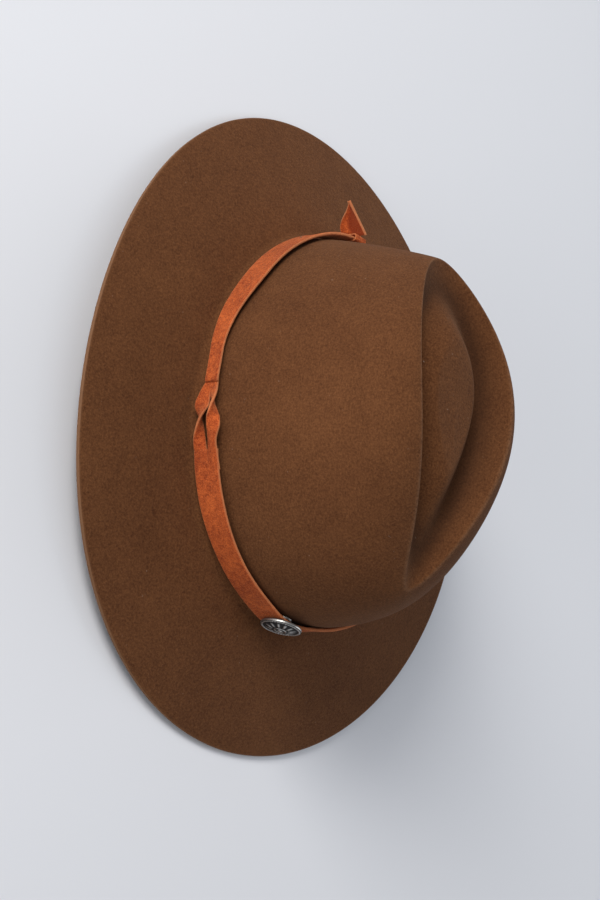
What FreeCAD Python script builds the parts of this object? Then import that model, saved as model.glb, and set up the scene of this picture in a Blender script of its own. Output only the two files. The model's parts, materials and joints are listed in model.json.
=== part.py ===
"""A western felt hat with a creased teardrop crown, a wide brim and a suede band with a metal concho.

The hat stands on its brim: +Z is up through the crown, -Y is the front, and the origin is on the
surface that the brim rests on, under the middle of the crown. All sizes are in millimetres.
"""

import FreeCAD, Part

import math
import os

import Sketcher
from FreeCAD import Placement, Rotation, Vector

# The driving dimensions: alias, value, and what it measures.
DIMENSIONS = [
    ("base_half_width", 88.0, "outside of the crown at the brim, centre line to side"),
    ("base_half_length", 106.0, "outside of the crown at the brim, centre to front or back"),
    ("base_egg", 0.08, "how much fuller the front of the oval is than its back"),
    ("brim_width", 70.0, "brim from the crown to its cut edge"),
    ("brim_drop", 17.0, "mean fall of the brim's top from the crown to its edge"),
    ("brim_roll", 6.5, "how far the sides stand above that mean, and the ends below it"),
    ("felt_thickness", 2.5, "thickness of the felt"),
    ("break_height", 5.0, "height where the crown wall starts to turn into the brim"),
    ("break_reach", 6.0, "how far out that turn runs"),
    ("crown_height", 107.3, "highest point of the crown above the brim break"),
    ("apex_offset", 3.8, "how far the highest point is in front of the centre"),
    ("front_fall", 27.7, "fall of the ridge from its highest point to the front tip"),
    ("back_fall", 26.7, "fall of the ridge from its highest point to the back"),
    ("ridge_half_length", 88.6, "ridge of the crease, centre to front or back"),
    ("ridge_half_width", 38.8, "ridge of the crease, centre line to side"),
    ("ridge_taper", 14.1, "how much fuller the back half of the teardrop is than its front"),
    ("ridge_round", 10.1, "how much the teardrop draws in toward both its ends"),
    ("ridge_point", 6.2, "how much of that fullness is lost again toward the tips"),
    ("crease_depth", 19.0, "depth of the groove below the ridge"),
    ("dome_rise", 11.0, "height of the raised middle of the crease above the groove"),
    ("layer_gap", 0.4, "gap left between neighbouring layers"),
    ("sweatband_top", 44.0, "top edge of the sweatband above the brim break"),
    ("sweatband_thickness", 1.1, "thickness of the sweatband leather"),
    ("tape_top", 8.0, "top edge of the cloth tape behind the reed"),
    ("tape_thickness", 0.4, "thickness of that tape"),
    ("reed_diameter", 1.6, "diameter of the plastic reed"),
    ("lining_thickness", 0.5, "thickness of the satin lining"),
    ("lining_top", 66.0, "height of the lining's seam above the brim break"),
    ("piping_diameter", 2.0, "diameter of the piping round the lining's seam"),
    ("strap_stand_off", 1.8, "gap between the crown's base oval and the suede strap"),
    ("strap_thickness", 1.8, "thickness of the suede"),
    ("strap_middle", 11.2, "height of the strap's centre line above the brim break"),
    ("front_strap_width", 16.0, "width of the front suede strap"),
    ("rear_strap_width", 16.0, "width of the rear suede strap"),
    ("neck_width", 8.6, "width of the rear strap where it is gathered at each end"),
    ("held_width", 13.5, "width of the rear strap where the keeper gathers it"),
    ("slit_length", 10.0, "length of the slit at each end of the front strap"),
    ("slit_width", 3.5, "width of that slit when spread"),
    ("concho_radius", 11.0, "radius of the concho"),
    ("concho_lift", 2.0, "how far the screw head pushes the strap out behind the concho"),
    ("concho_rim", 1.4, "thickness of the concho at its rim"),
    ("concho_dome", 1.6, "rise of the middle of the concho's face above its rim"),
    ("post_radius", 2.0, "radius of the post soldered to the back of the concho"),
    ("post_bore", 1.45, "radius of the post's bore"),
    ("screw_radius", 1.1, "radius of the screw's shank"),
    ("screw_head_radius", 4.5, "radius of the screw's flat head behind the strap"),
    ("screw_head_height", 0.8, "thickness of that head"),
    ("tail_length", 21.0, "length of the loose strap end"),
    ("keeper_length", 9.0, "length of the keeper loop along the strap"),
    ("keeper_wall", 0.9, "thickness of the keeper's suede"),
    ("bow_width", 26.0, "width of the small bow inside the back of the sweatband"),
    ("bow_thickness", 0.8, "thickness of the bow's ribbon layers"),
    ("stitch_length", 4.2, "length of one stitch of the sweatband seam"),
    ("stitch_count", 84.0, "number of stitches round the sweatband"),
    ("thread_radius", 0.3, "radius of the sewing thread"),
]

RING_POINTS = 48  # points on each ring of a ruled skin
FRONT_END = 183.5  # where the front strap ends over the rear strap, in degrees from +X
KEEPER_ANGLE = 87.0  # where the keeper loop holds the strap's end, at the back
CONCHO_ANGLE = 259.3  # where the concho sits, to the wearer's right of the front

doc = FreeCAD.newDocument("western_hat")


def make_sheet():
    """Puts the driving dimensions in a spreadsheet, one alias a row, and returns it."""
    sheet = doc.addObject("Spreadsheet::Sheet", "dimensions")
    for row, (alias, value, words) in enumerate(DIMENSIONS, start=1):
        sheet.set(f"A{row}", alias)
        sheet.set(f"B{row}", str(value))
        sheet.set(f"C{row}", words)
        sheet.setAlias(f"B{row}", alias)
    doc.recompute()
    return sheet


sheet = make_sheet()
SIZES = {alias: float(sheet.get(alias)) for alias, _, _ in DIMENSIONS}


def size(alias):
    """The value of one driving dimension, as the spreadsheet holds it."""
    return SIZES[alias]


# ---------------------------------------------------------------- the shape of the felt


def ease(value):
    """A smooth step from 0 to 1."""
    value = min(max(value, 0.0), 1.0)
    return value * value * (3 - 2 * value)


def base_point(angle, outward):
    """A point of the crown's base oval in plan, moved outward along the oval's own normal."""
    a, b, egg = size("base_half_width"), size("base_half_length"), size("base_egg")
    c, s = math.cos(angle), math.sin(angle)
    x, y = a * c * (1 - egg * s), b * s
    dx, dy = -a * s * (1 - egg * s) - a * c * egg * c, b * c
    length = math.hypot(dx, dy)
    return x + outward * dy / length, y - outward * dx / length


def ridge_height(y):
    """Height of the crease's ridge above the brim break, at that distance along the hat."""
    apex = -size("apex_offset")
    fall = size("front_fall") if y < apex else size("back_fall")
    reach = size("ridge_half_length") + (apex if y < apex else -apex)
    return size("crown_height") - fall * ((y - apex) / reach) ** 2


def ridge_point(angle):
    """A point of the teardrop ridge, as x, y and height above the brim break."""
    c, s = math.cos(angle), math.sin(angle)
    x = c * (size("ridge_half_width") + size("ridge_taper") * s
             - size("ridge_round") * s**2 - size("ridge_point") * s**3)
    y = size("ridge_half_length") * s
    return x, y, ridge_height(y)


def by_end(angle, side, front, back):
    """A number that goes from its value at the sides to others at the front and the back."""
    s = math.sin(angle)
    return side + ((front - side) if s < 0 else (back - side)) * s * s


def wall_point(angle, rise):
    """A point of the crown's outer wall: rise runs from 0 at the brim break to 1 at the ridge."""
    bx, by = base_point(angle, 0.0)
    rx, ry, top = ridge_point(angle)
    foot = size("break_height")
    tall = top - foot
    move = by_end(angle, 0.488, 0.162, 0.765)  # how far in the shoulder lies, from the foot to the ridge
    raised = by_end(angle, 0.946, 0.794, 0.859)  # how high it stands
    full = by_end(angle, 0.988, 1.035, 0.988)  # how full the wall is low down
    points = (
        (bx, by, foot),
        (bx * 0.988, by * full, foot + 0.25 * tall),
        (bx + move * (rx - bx), by + move * (ry - by), foot + raised * tall),
        (rx, ry, top),
    )
    k = 1 - rise
    weights = (k**3, 3 * k * k * rise, 3 * k * rise * rise, rise**3)
    return tuple(sum(w * p[i] for w, p in zip(weights, points)) for i in range(3))


def crease_point(angle, share):
    """A point inside the crease: share runs from 1 at the ridge to 0 at the middle."""
    rx, ry, _ = ridge_point(angle)
    middle, groove = 12.0, 0.72
    x, y = rx * share, middle + (ry - middle) * share
    if share > groove:
        sunk = 1 - ((share - groove) / (1 - groove)) ** 1.7
    else:
        near = share / groove
        dome = 0.82 * (1 - ease((near - 0.52) / 0.44)) + 0.18 * (1 - near * near)
        sunk = 1 - size("dome_rise") / size("crease_depth") * dome
    tip = (ry / size("ridge_half_length")) ** 2
    depth = size("crease_depth") * (1 - 0.38 * tip * share)
    height = ridge_height(y) * share + ridge_height(middle) * (1 - share)
    return x, y, height - depth * sunk


def brim_point(angle, share):
    """A point of the brim's top: share runs from 0 at the crown to 1 at the cut edge."""
    outward = share * size("brim_width")
    x, y = base_point(angle, outward)
    edge = -size("brim_drop") + size("brim_roll") * math.cos(2 * angle)
    turn = size("break_height") * max(0.0, 1 - outward / size("break_reach")) ** 3
    return x, y, turn + edge * share**1.1


def skin_point(angle, station):
    """The outer skin in one run: 0 to 1 in the crease, 1 to 2 down the wall, 2 to 3 over the brim."""
    if station <= 1:
        return Vector(*crease_point(angle, station))
    if station <= 2:
        return Vector(*wall_point(angle, 2 - station))
    return Vector(*brim_point(angle, station - 2))


def skin_normal(angle, station):
    """The outward unit normal of the outer skin, by small differences."""
    step = 0.01
    low, high = max(station - step, 0.01), min(station + step, 3.0)
    along = skin_point(angle, high) - skin_point(angle, low)
    around = skin_point(angle + step, station) - skin_point(angle - step, station)
    return along.cross(around).normalize()


def skin_inside(angle, station, inset):
    """A point under the outer skin, moved in along its normal."""
    return skin_point(angle, station) - skin_normal(angle, station) * inset


def wall_at(angle, height, inset):
    """The plan position of the crown wall at one height, moved in from its outer face by inset."""
    if height <= size("break_height"):
        return base_point(angle, -inset)
    low, high = 0.0, 1.0
    for _ in range(24):
        middle = (low + high) / 2
        below = skin_inside(angle, 2 - middle, inset).z < height
        low, high = (middle, high) if below else (low, middle)
    point = skin_inside(angle, 2 - low, inset)
    return point.x, point.y


def ring_angles():
    """The angles of a ring's points, from the back round by the wearer's right."""
    return [math.pi / 2 + 2 * math.pi * i / RING_POINTS for i in range(RING_POINTS)]


EDGE_DROP = min(skin_inside(a, 3.0, size("felt_thickness")).z for a in ring_angles())
LIFT = Vector(0, 0, -EDGE_DROP)  # raises the hat until its brim rests at height 0


def lift(shape):
    """A copy of a shape drawn from the brim break, raised to rest on its brim."""
    moved = shape.copy()
    moved.translate(LIFT)
    return moved


# ---------------------------------------------------------------- building with rings


def closed_wire(points):
    """One smooth closed edge through the points, as a wire."""
    curve = Part.BSplineCurve()
    curve.interpolate(Points=[Vector(*p) for p in points], PeriodicFlag=True)
    return Part.Wire(curve.toShape())


def solid_from(faces):
    """Sews faces into one closed solid with its faces turned outward."""
    shell = Part.makeShell(faces)
    shell.sewShape()
    solid = Part.makeSolid(Part.makeShell(shell.Faces))
    if solid.Volume < 0:
        solid.reverse()
    return solid


def ruled_faces(wires):
    """The ruled faces between each wire and the next."""
    faces = []
    for first, second in zip(wires, wires[1:]):
        faces += Part.makeRuledSurface(first, second).Faces
    return faces


def ring_solid(section):
    """A closed ring: section(angle) gives the corner points of its cross-section in order."""
    corners = [section(angle) for angle in ring_angles()]
    wires = [closed_wire([points[k] for points in corners]) for k in range(len(corners[0]))]
    return solid_from(ruled_faces(wires + wires[:1]))


def strip_solid(start, end, steps, section):
    """An open strip from one angle to another in degrees, with flat ends."""
    angles = [math.radians(start + (end - start) * i / steps) for i in range(steps + 1)]
    corners = [section(angle) for angle in angles]
    edges = []
    for k in range(len(corners[0])):
        curve = Part.BSplineCurve()
        curve.interpolate(Points=[Vector(*points[k]) for points in corners])
        edges.append(Part.Wire(curve.toShape()))
    faces = ruled_faces(edges + edges[:1])
    for points in (corners[0], corners[-1]):
        outline = [Vector(*p) for p in points]
        faces.append(Part.Face(Part.makePolygon(outline + outline[:1])))
    return solid_from(faces)


def layer_section(inset, thickness, bottom, top, rows=3):
    """The cross-section of a layer inside the crown wall, from its bottom edge to its top edge."""
    heights = [bottom + (top - bottom) * i / (rows - 1) for i in range(rows)]

    def section(angle):
        outer = [(*wall_at(angle, z, inset), z) for z in heights]
        inner = [(*wall_at(angle, z, inset + thickness), z) for z in reversed(heights)]
        return outer + inner

    return section


def strap_section(width, offset, middle):
    """The cross-section of a strap round the crown, from functions of the angle."""

    def section(angle):
        low = middle(angle) - width(angle) / 2
        high = middle(angle) + width(angle) / 2
        near = base_point(angle, offset(angle))
        far = base_point(angle, offset(angle) + size("strap_thickness"))
        return [(*far, low), (*far, high), (*near, high), (*near, low)]

    return section


def outward_placement(angle_degrees, outward, height):
    """A frame on the crown's base oval: +Z points straight out of the crown and +Y points up."""
    angle = math.radians(angle_degrees)
    x0, y0 = base_point(angle, 0.0)
    x1, y1 = base_point(angle, 1.0)
    x, y = base_point(angle, outward)
    turn = math.degrees(math.atan2(y1 - y0, x1 - x0))
    rotation = Rotation(Vector(0, 0, 1), turn) * Rotation(Vector(0, 1, 0), 90) * Rotation(Vector(0, 0, 1), 90)
    return Placement(Vector(x, y, height) + LIFT, rotation)


# ---------------------------------------------------------------- adding to the document

PARTS = []


def add_shape(name, shape):
    """Adds a shape made in code as one named sub-part."""
    feature = doc.addObject("Part::Feature", name)
    feature.Label = name
    feature.Shape = shape
    PARTS.append(feature)
    return feature


def add_primitive(kind, name, expressions, placement=None):
    """Adds a Part primitive with its properties bound to the spreadsheet."""
    primitive = doc.addObject(kind, name)
    for prop, expression in expressions.items():
        primitive.setExpression(prop, expression)
    if placement:
        primitive.Placement = placement
    return primitive


def own_plane(body, role):
    """The origin plane of a body that has the given role."""
    return [f for f in body.Origin.OriginFeatures if f.Role == role][0]


def add_sketch(body, name, role, points):
    """Adds a closed outline on one of a body's origin planes; each point is a pair of expressions."""
    sketch = body.newObject("Sketcher::SketchObject", name)
    sketch.AttachmentSupport = [(own_plane(body, role), "")]
    sketch.MapMode = "FlatFace"
    doc.recompute()
    start = [Vector(float(x[0]), float(y[0]), 0) for x, y in points]
    for first, second in zip(start, start[1:] + start[:1]):
        sketch.addGeometry(Part.LineSegment(first, second), False)
    Constraint = Sketcher.Constraint
    count = len(start)
    for i in range(count):
        sketch.addConstraint(Constraint("Coincident", i, 2, (i + 1) % count, 1))
    for i, (x, y) in enumerate(points):
        for kind, (value, expression) in (("DistanceX", x), ("DistanceY", y)):
            index = sketch.addConstraint(Constraint(kind, -1, 1, i, 1, float(value)))
            if expression:
                sketch.setExpression(f"Constraints[{index}]", expression)
    return sketch


def dim(alias, factor=1.0, more=0.0):
    """One coordinate, a share of a driving dimension plus a fixed amount, with its expression."""
    return factor * size(alias) + more, f"{factor} * dimensions.{alias} + {more}"


ZERO = (0.0, "")


# ---------------------------------------------------------------- the felt body


def make_felt():
    """The crown and brim, one pressed felt: outer skin, cut edge, then the inner skin."""
    felt = size("felt_thickness")
    stations = [0.06, 0.18, 0.3, 0.4, 0.5, 0.58, 0.66, 0.72, 0.8, 0.88, 0.95, 1.0, 1.04, 1.1]
    stations += [1.1 + 0.09 * i for i in range(1, 11)]
    stations += [2 + reach / size("brim_width") for reach in (1.0, 2.5, 4.5, 7.0, 16.0, 34.0, 52.0, 70.0)]
    cap = crease_point(math.pi, stations[0])[2]
    wires = []
    for inset in (0.0, felt):
        rings = []
        for station in stations:
            points = [skin_inside(a, station, inset) for a in ring_angles()]
            if station == stations[0]:
                points = [Vector(p.x, p.y, cap - inset) for p in points]
            rings.append(closed_wire([p + LIFT for p in points]))
        wires += rings if inset == 0 else list(reversed(rings))
    faces = ruled_faces(wires)
    faces += [Part.Face(wires[0]), Part.Face(wires[-1])]
    return solid_from(faces)


add_shape("felt_body", make_felt())

# ---------------------------------------------------------------- inside the crown

FELT, GAP = size("felt_thickness"), size("layer_gap")
LINING_INSET = FELT + GAP
TAPE_INSET = FELT + GAP
BAND_INSET = LINING_INSET + size("lining_thickness") + GAP
LINING_FOOT = 14.0

add_shape("lining_side", lift(ring_solid(layer_section(
    LINING_INSET, size("lining_thickness"), LINING_FOOT, size("lining_top") - 2.0, rows=9))))


def make_lining_tip():
    """The flat oval of satin that closes the top of the lining."""
    top, thick = size("lining_top"), size("lining_thickness")
    inset = LINING_INSET + size("lining_thickness") + size("piping_diameter") / 2
    outline = closed_wire([(*wall_at(a, top, inset), top) for a in ring_angles()])
    return Part.Face(outline).extrude(Vector(0, 0, thick))


def round_section(inset, height, radius, corners=6):
    """The cross-section of a round cord inside the crown wall."""

    def section(angle):
        points = []
        for k in range(corners):
            turn = 2 * math.pi * k / corners
            z = height + radius * math.sin(turn)
            points.append((*wall_at(angle, height, inset - radius * math.cos(turn)), z))
        return points

    return section


add_shape("lining_tip", lift(make_lining_tip()))
add_shape("lining_piping", lift(ring_solid(round_section(
    LINING_INSET + size("piping_diameter") / 2 + 0.1, size("lining_top") - 1.0 - 0.05,
    size("piping_diameter") / 2 - 0.1))))
add_shape("sweatband_leather", lift(ring_solid(layer_section(
    BAND_INSET, size("sweatband_thickness"), 2.4, size("sweatband_top"), rows=5))))
add_shape("sweatband_tape", lift(ring_solid(layer_section(
    TAPE_INSET, size("tape_thickness"), 1.0, size("tape_top")))))
add_shape("sweatband_reed", lift(ring_solid(round_section(
    BAND_INSET + 0.5, 1.2, size("reed_diameter") / 2))))


def stitch(start, end, radius):
    """One stitch: a short straight piece of thread."""
    return Part.makeCylinder(radius, (end - start).Length, start, end - start)


def make_band_stitches():
    """The row of stitches that sews the sweatband to its tape, on the face the head touches."""
    count, radius = int(size("stitch_count")), size("thread_radius")
    share = size("stitch_length") / 7.0
    inset = BAND_INSET + size("sweatband_thickness") + radius
    stitches = []
    for i in range(count):
        start = math.pi / 2 + 2 * math.pi * (i + 0.2) / count
        end = start + 2 * math.pi * share / count
        ends = [Vector(*wall_at(a, 5.0, inset), 5.0) for a in (start, end)]
        stitches.append(stitch(ends[0], ends[1], radius))
    return Part.makeCompound(stitches)


def make_back_seam():
    """The slanted stitches that join the sweatband's two ends at the back."""
    radius = size("thread_radius")
    inset = BAND_INSET + size("sweatband_thickness") + radius
    half = math.radians(1.3)
    stitches = []
    for i in range(7):
        height = 14.0 + 4.0 * i
        low = Vector(*wall_at(math.pi / 2 - half, height, inset), height)
        high = Vector(*wall_at(math.pi / 2 + half, height + 2.0, inset), height + 2.0)
        stitches.append(stitch(low, high, radius))
    return Part.makeCompound(stitches)


add_shape("sweatband_stitches", lift(make_band_stitches()))
add_shape("sweatband_back_seam", lift(make_back_seam()))


def make_bow():
    """The small ribbon bow that covers the foot of the sweatband's back seam."""
    body = doc.addObject("PartDesign::Body", "sweatband_bow")
    wing = dim("bow_width", 0.5)
    outline = [
        (dim("bow_width", -0.5), (-4.5, "")), (dim("bow_width", -0.08), (-1.2, "")),
        (dim("bow_width", -0.2), (-9.5, "")), (dim("bow_width", -0.08), (-9.5, "")),
        (ZERO, (-2.4, "")),
        (dim("bow_width", 0.08), (-9.5, "")), (dim("bow_width", 0.2), (-9.5, "")),
        (dim("bow_width", 0.08), (-1.2, "")), (wing, (-4.5, "")),
        (wing, (4.5, "")), (dim("bow_width", 0.08), (1.2, "")),
        (dim("bow_width", -0.08), (1.2, "")), (dim("bow_width", -0.5), (4.5, "")),
    ]
    sketch = add_sketch(body, "bow_outline", "XZ_Plane", outline)
    pad = body.newObject("PartDesign::Pad", "bow_ribbon")
    pad.Profile = sketch
    pad.setExpression("Length", "dimensions.bow_thickness * 2")
    back = wall_at(math.pi / 2, 11.0, BAND_INSET + size("sweatband_thickness"))[1]
    body.Placement = Placement(Vector(0, back - 2.4, 11.5) + LIFT, Rotation())
    body.Label = "sweatband_bow"
    PARTS.append(body)


make_bow()

# ---------------------------------------------------------------- the suede band round the crown

STAND_OFF, SUEDE = size("strap_stand_off"), size("strap_thickness")
CONCHO_HEIGHT = size("strap_middle") + 2.3


def front_offset(angle):
    """The front strap's stand-off: its ends rise over the rear strap, and its middle at the concho."""
    degrees = math.degrees(angle)
    away = abs(degrees - 270.0)
    over_screw = size("concho_lift") * math.exp(-(((degrees - CONCHO_ANGLE) / 9.0) ** 2))
    return STAND_OFF + over_screw + (SUEDE + 0.5) * ease((away - 68.0) / 7.0)


def rear_width(angle):
    """The rear strap's width: gathered to a neck toward both ends, and a little at the keeper."""
    degrees = math.degrees(angle)
    full, neck = size("rear_strap_width"), size("neck_width")
    held = (full - size("held_width")) * math.exp(-(((degrees - KEEPER_ANGLE) / 9.0) ** 2))
    return full - held - (full - neck) * ease((abs(degrees - 90.0) - 50.0) / 32.0)


def rear_middle(angle):
    """The height of the rear strap's centre line, which dips where the strap narrows."""
    degrees = math.degrees(angle)
    away = abs(degrees - 90.0)
    dip = 3.2 * (ease((away - 50.0) / 20.0) - ease((away - 73.0) / 16.0))
    return size("strap_middle") - dip + 0.6 * math.exp(-(((degrees - KEEPER_ANGLE) / 9.0) ** 2))


def make_front_strap():
    """The front strap, with a slit at each end and a hole for the concho's post."""
    strap = strip_solid(FRONT_END, 540.0 - FRONT_END, 72, strap_section(
        lambda a: size("front_strap_width"), front_offset, lambda a: size("strap_middle")))
    for side in (-1, 1):
        slit = Part.makeBox(12.0, size("slit_length"), size("slit_width"))
        x, y = base_point(math.radians(FRONT_END), 0.0)
        slit.translate(Vector(side * (4.0 - x) - 6.0, y - 4.0 - size("slit_length"),
                              size("strap_middle") - size("slit_width") / 2))
        strap = strap.cut(slit)
    hole = Part.makeCylinder(size("post_radius") + 0.6, 20.0)
    hole.Placement = outward_placement(CONCHO_ANGLE, -5.0, CONCHO_HEIGHT)
    return lift(strap).cut(hole)


add_shape("band_front_strap", make_front_strap())
add_shape("band_rear_strap", lift(strip_solid(-14.0, 194.0, 84, strap_section(
    rear_width, lambda a: STAND_OFF, rear_middle))))


def make_keeper():
    """The small suede loop that holds the strap's end at the back, made as a box with a box cut out."""
    wall, gap = size("keeper_wall"), 0.35
    outer = add_primitive("Part::Box", "keeper_outer", {
        "Length": "dimensions.keeper_length",
        "Width": "dimensions.held_width + 2 * dimensions.keeper_wall + 0.7",
        "Height": "dimensions.strap_thickness + 2 * dimensions.keeper_wall + 0.9",
    })
    inner = add_primitive("Part::Box", "keeper_inner", {
        "Length": "dimensions.keeper_length + 4",
        "Width": "dimensions.held_width + 0.7",
        "Height": "dimensions.strap_thickness + 0.9",
    })
    frame = outward_placement(KEEPER_ANGLE, 0.0, size("strap_middle") + 0.6)
    half = (size("held_width") + 2 * wall + 2 * gap) / 2
    outer.Placement = frame * Placement(
        Vector(-size("keeper_length") / 2, -half, STAND_OFF - 0.45 - wall), Rotation())
    inner.Placement = frame * Placement(
        Vector(-size("keeper_length") / 2 - 2, -half + wall, STAND_OFF - 0.45), Rotation())
    loop = doc.addObject("Part::Cut", "band_keeper")
    loop.Base, loop.Tool = outer, inner
    loop.Label = "band_keeper"
    PARTS.append(loop)


make_keeper()


def make_tail():
    """The loose pointed end of the strap, standing out from the keeper on its edge."""
    body = doc.addObject("PartDesign::Body", "band_tail")
    width, tail = "front_strap_width", "tail_length"
    outline = [
        (ZERO, dim(width, -0.375)), (dim(tail, 0.45), dim(width, -0.5)),
        (dim(tail, 0.72), dim(width, -0.35)), (dim(tail), ZERO), (dim(tail, 0.72), dim(width, 0.35)),
        (dim(tail, 0.45), dim(width, 0.5)), (ZERO, dim(width, 0.375)),
    ]
    sketch = add_sketch(body, "tail_outline", "XZ_Plane", outline)
    pad = body.newObject("PartDesign::Pad", "tail_suede")
    pad.Profile = sketch
    pad.Midplane = True
    pad.setExpression("Length", "dimensions.strap_thickness")
    x, y = base_point(math.radians(KEEPER_ANGLE), STAND_OFF + SUEDE + size("keeper_wall") + 1.6)
    root = Vector(x, y, size("strap_middle") + 3.0) + LIFT
    body.Placement = Placement(root, Rotation(Vector(0, 0, 1), 112.0))
    body.Label = "band_tail"
    PARTS.append(body)
    return root


TAIL_ROOT = make_tail()

# ---------------------------------------------------------------- the concho and its screw


def make_concho():
    """The concho: a domed disc with a raised rim and a hollow post, turned about its own axis."""
    body = doc.addObject("PartDesign::Body", "concho_disc")
    bore = dim("post_bore")
    rim = dim("concho_rim")
    top = size("concho_rim") + size("concho_dome")
    crown = (top, "dimensions.concho_rim + dimensions.concho_dome")
    shoulder = (0.8 * top, "0.8 * (dimensions.concho_rim + dimensions.concho_dome)")
    outline = [
        (bore, (-2.6, "")), (dim("post_radius"), (-2.6, "")), (dim("post_radius"), ZERO),
        (dim("concho_radius"), ZERO), (dim("concho_radius"), rim),
        (dim("concho_radius", 0.94), dim("concho_rim", 1.0, 0.5)),
        (dim("concho_radius", 0.86), dim("concho_rim", 1.0, 0.1)),
        (dim("concho_radius", 0.45), shoulder),
        (ZERO, crown), (ZERO, (0.6, "")), (bore, (0.6, "")),
    ]
    sketch = add_sketch(body, "concho_profile", "XZ_Plane", outline)
    turned = body.newObject("PartDesign::Revolution", "concho_turned")
    turned.Profile = sketch
    turned.ReferenceAxis = (sketch, ["V_Axis"])
    turned.Angle = 360.0
    outward = STAND_OFF + size("concho_lift") + SUEDE + 0.5
    body.Placement = outward_placement(CONCHO_ANGLE, outward, CONCHO_HEIGHT)
    body.Label = "concho_disc"
    PARTS.append(body)


make_concho()


def make_screw():
    """The screw behind the strap: a flat slotted head and a shank that goes up the post."""
    outward = STAND_OFF + size("concho_lift") - 0.7 - size("screw_head_height")
    frame = outward_placement(CONCHO_ANGLE, outward, CONCHO_HEIGHT)
    head = add_primitive("Part::Cylinder", "screw_head", {
        "Radius": "dimensions.screw_head_radius", "Height": "dimensions.screw_head_height"}, frame)
    shank = add_primitive("Part::Cylinder", "screw_shank", {
        "Radius": "dimensions.screw_radius",
        "Height": "dimensions.strap_thickness + dimensions.strap_stand_off"}, frame)
    slot = add_primitive("Part::Box", "screw_slot", {
        "Length": "2 * dimensions.screw_head_radius + 2", "Width": "0.9", "Height": "0.35"})
    slot.Placement = frame * Placement(Vector(-size("screw_head_radius") - 1, -0.45, 0), Rotation())
    blank = doc.addObject("Part::Fuse", "screw_blank")
    blank.Base, blank.Tool = head, shank
    screw = doc.addObject("Part::Cut", "concho_screw")
    screw.Base, screw.Tool = blank, slot
    screw.Label = "concho_screw"
    PARTS.append(screw)


make_screw()


def make_tacks():
    """The short thread tacks that hold the straps to the felt."""
    radius = size("thread_radius")
    tacks = []
    for degrees in (20.0, 65.0, 115.0, 160.0, 200.0, 225.0, 270.0, 315.0, 340.0):
        angle = math.radians(degrees)
        height = size("strap_middle") if degrees > 180 else rear_middle(angle)
        inner = Vector(*base_point(angle, -0.6), height)
        outer = Vector(*base_point(angle, STAND_OFF + 0.6 * SUEDE), height)
        tacks.append(stitch(inner, outer, radius))
    return Part.makeCompound(tacks)


add_shape("band_tacks", lift(make_tacks()))

# ---------------------------------------------------------------- checking and writing

doc.recompute()
for thing in doc.Objects:
    if {"Invalid", "Error"} & set(thing.State):
        raise RuntimeError(f"{thing.Label} failed: {thing.State}")
os.makedirs("parts", exist_ok=True)
total = Part.makeCompound([part.Shape for part in PARTS]).BoundBox
for part in PARTS:
    if part.Shape.isNull() or not part.Shape.isValid():
        raise RuntimeError(f"{part.Label} has no valid shape")
    part.Shape.exportStep(f"parts/{part.Label}.step")
    box = part.Shape.BoundBox
    spans = "x {:.1f}..{:.1f} y {:.1f}..{:.1f} z {:.1f}..{:.1f}".format(
        box.XMin, box.XMax, box.YMin, box.YMax, box.ZMin, box.ZMax)
    print(f"{part.Label}: {len(part.Shape.Solids)} solids, volume {part.Shape.Volume:.0f}, {spans}")
axis = outward_placement(CONCHO_ANGLE, 0.0, CONCHO_HEIGHT)
print("tail root", TAIL_ROOT)
print("concho axis", axis.Base, axis.Rotation.multVec(Vector(0, 0, 1)))
print("whole hat", total)
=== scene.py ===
"""The looks of a western felt hat.

Brushed felt, a suede band with looped slits, a silver concho and a lined inside.
"""

import json
import logging
import math
from dataclasses import dataclass
from enum import Enum

import bpy
import numpy as np
from mathutils import Matrix, Vector


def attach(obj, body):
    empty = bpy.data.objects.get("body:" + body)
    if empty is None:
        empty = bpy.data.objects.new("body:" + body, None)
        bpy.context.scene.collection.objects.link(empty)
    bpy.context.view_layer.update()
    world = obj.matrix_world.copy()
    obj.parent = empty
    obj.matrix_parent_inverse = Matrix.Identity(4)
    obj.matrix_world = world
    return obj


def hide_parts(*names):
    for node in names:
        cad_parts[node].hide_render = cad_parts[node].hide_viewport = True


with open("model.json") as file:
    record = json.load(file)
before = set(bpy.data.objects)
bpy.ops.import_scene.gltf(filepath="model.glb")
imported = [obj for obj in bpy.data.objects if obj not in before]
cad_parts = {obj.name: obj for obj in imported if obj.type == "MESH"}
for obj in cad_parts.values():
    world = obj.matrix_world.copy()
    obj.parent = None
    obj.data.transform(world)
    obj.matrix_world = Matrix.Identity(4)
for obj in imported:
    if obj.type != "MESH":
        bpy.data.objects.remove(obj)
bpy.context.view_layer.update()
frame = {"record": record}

LOG = logging.getLogger("hat")
MM = 0.001
TAU = 2 * math.pi
CONCHO_ANGLE = 259.3  # degrees round the crown from +X


class Body(str, Enum):
    """The rigid bodies that pieces ride on."""

    HAT = "hat"
    CONCHO = "concho"
    TAIL = "tail"


class Side(Enum):
    """The two sides of the hat, as the sign of X."""

    LEFT = 1
    RIGHT = -1


# ---------------------------------------------------------------- shader maths


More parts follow.
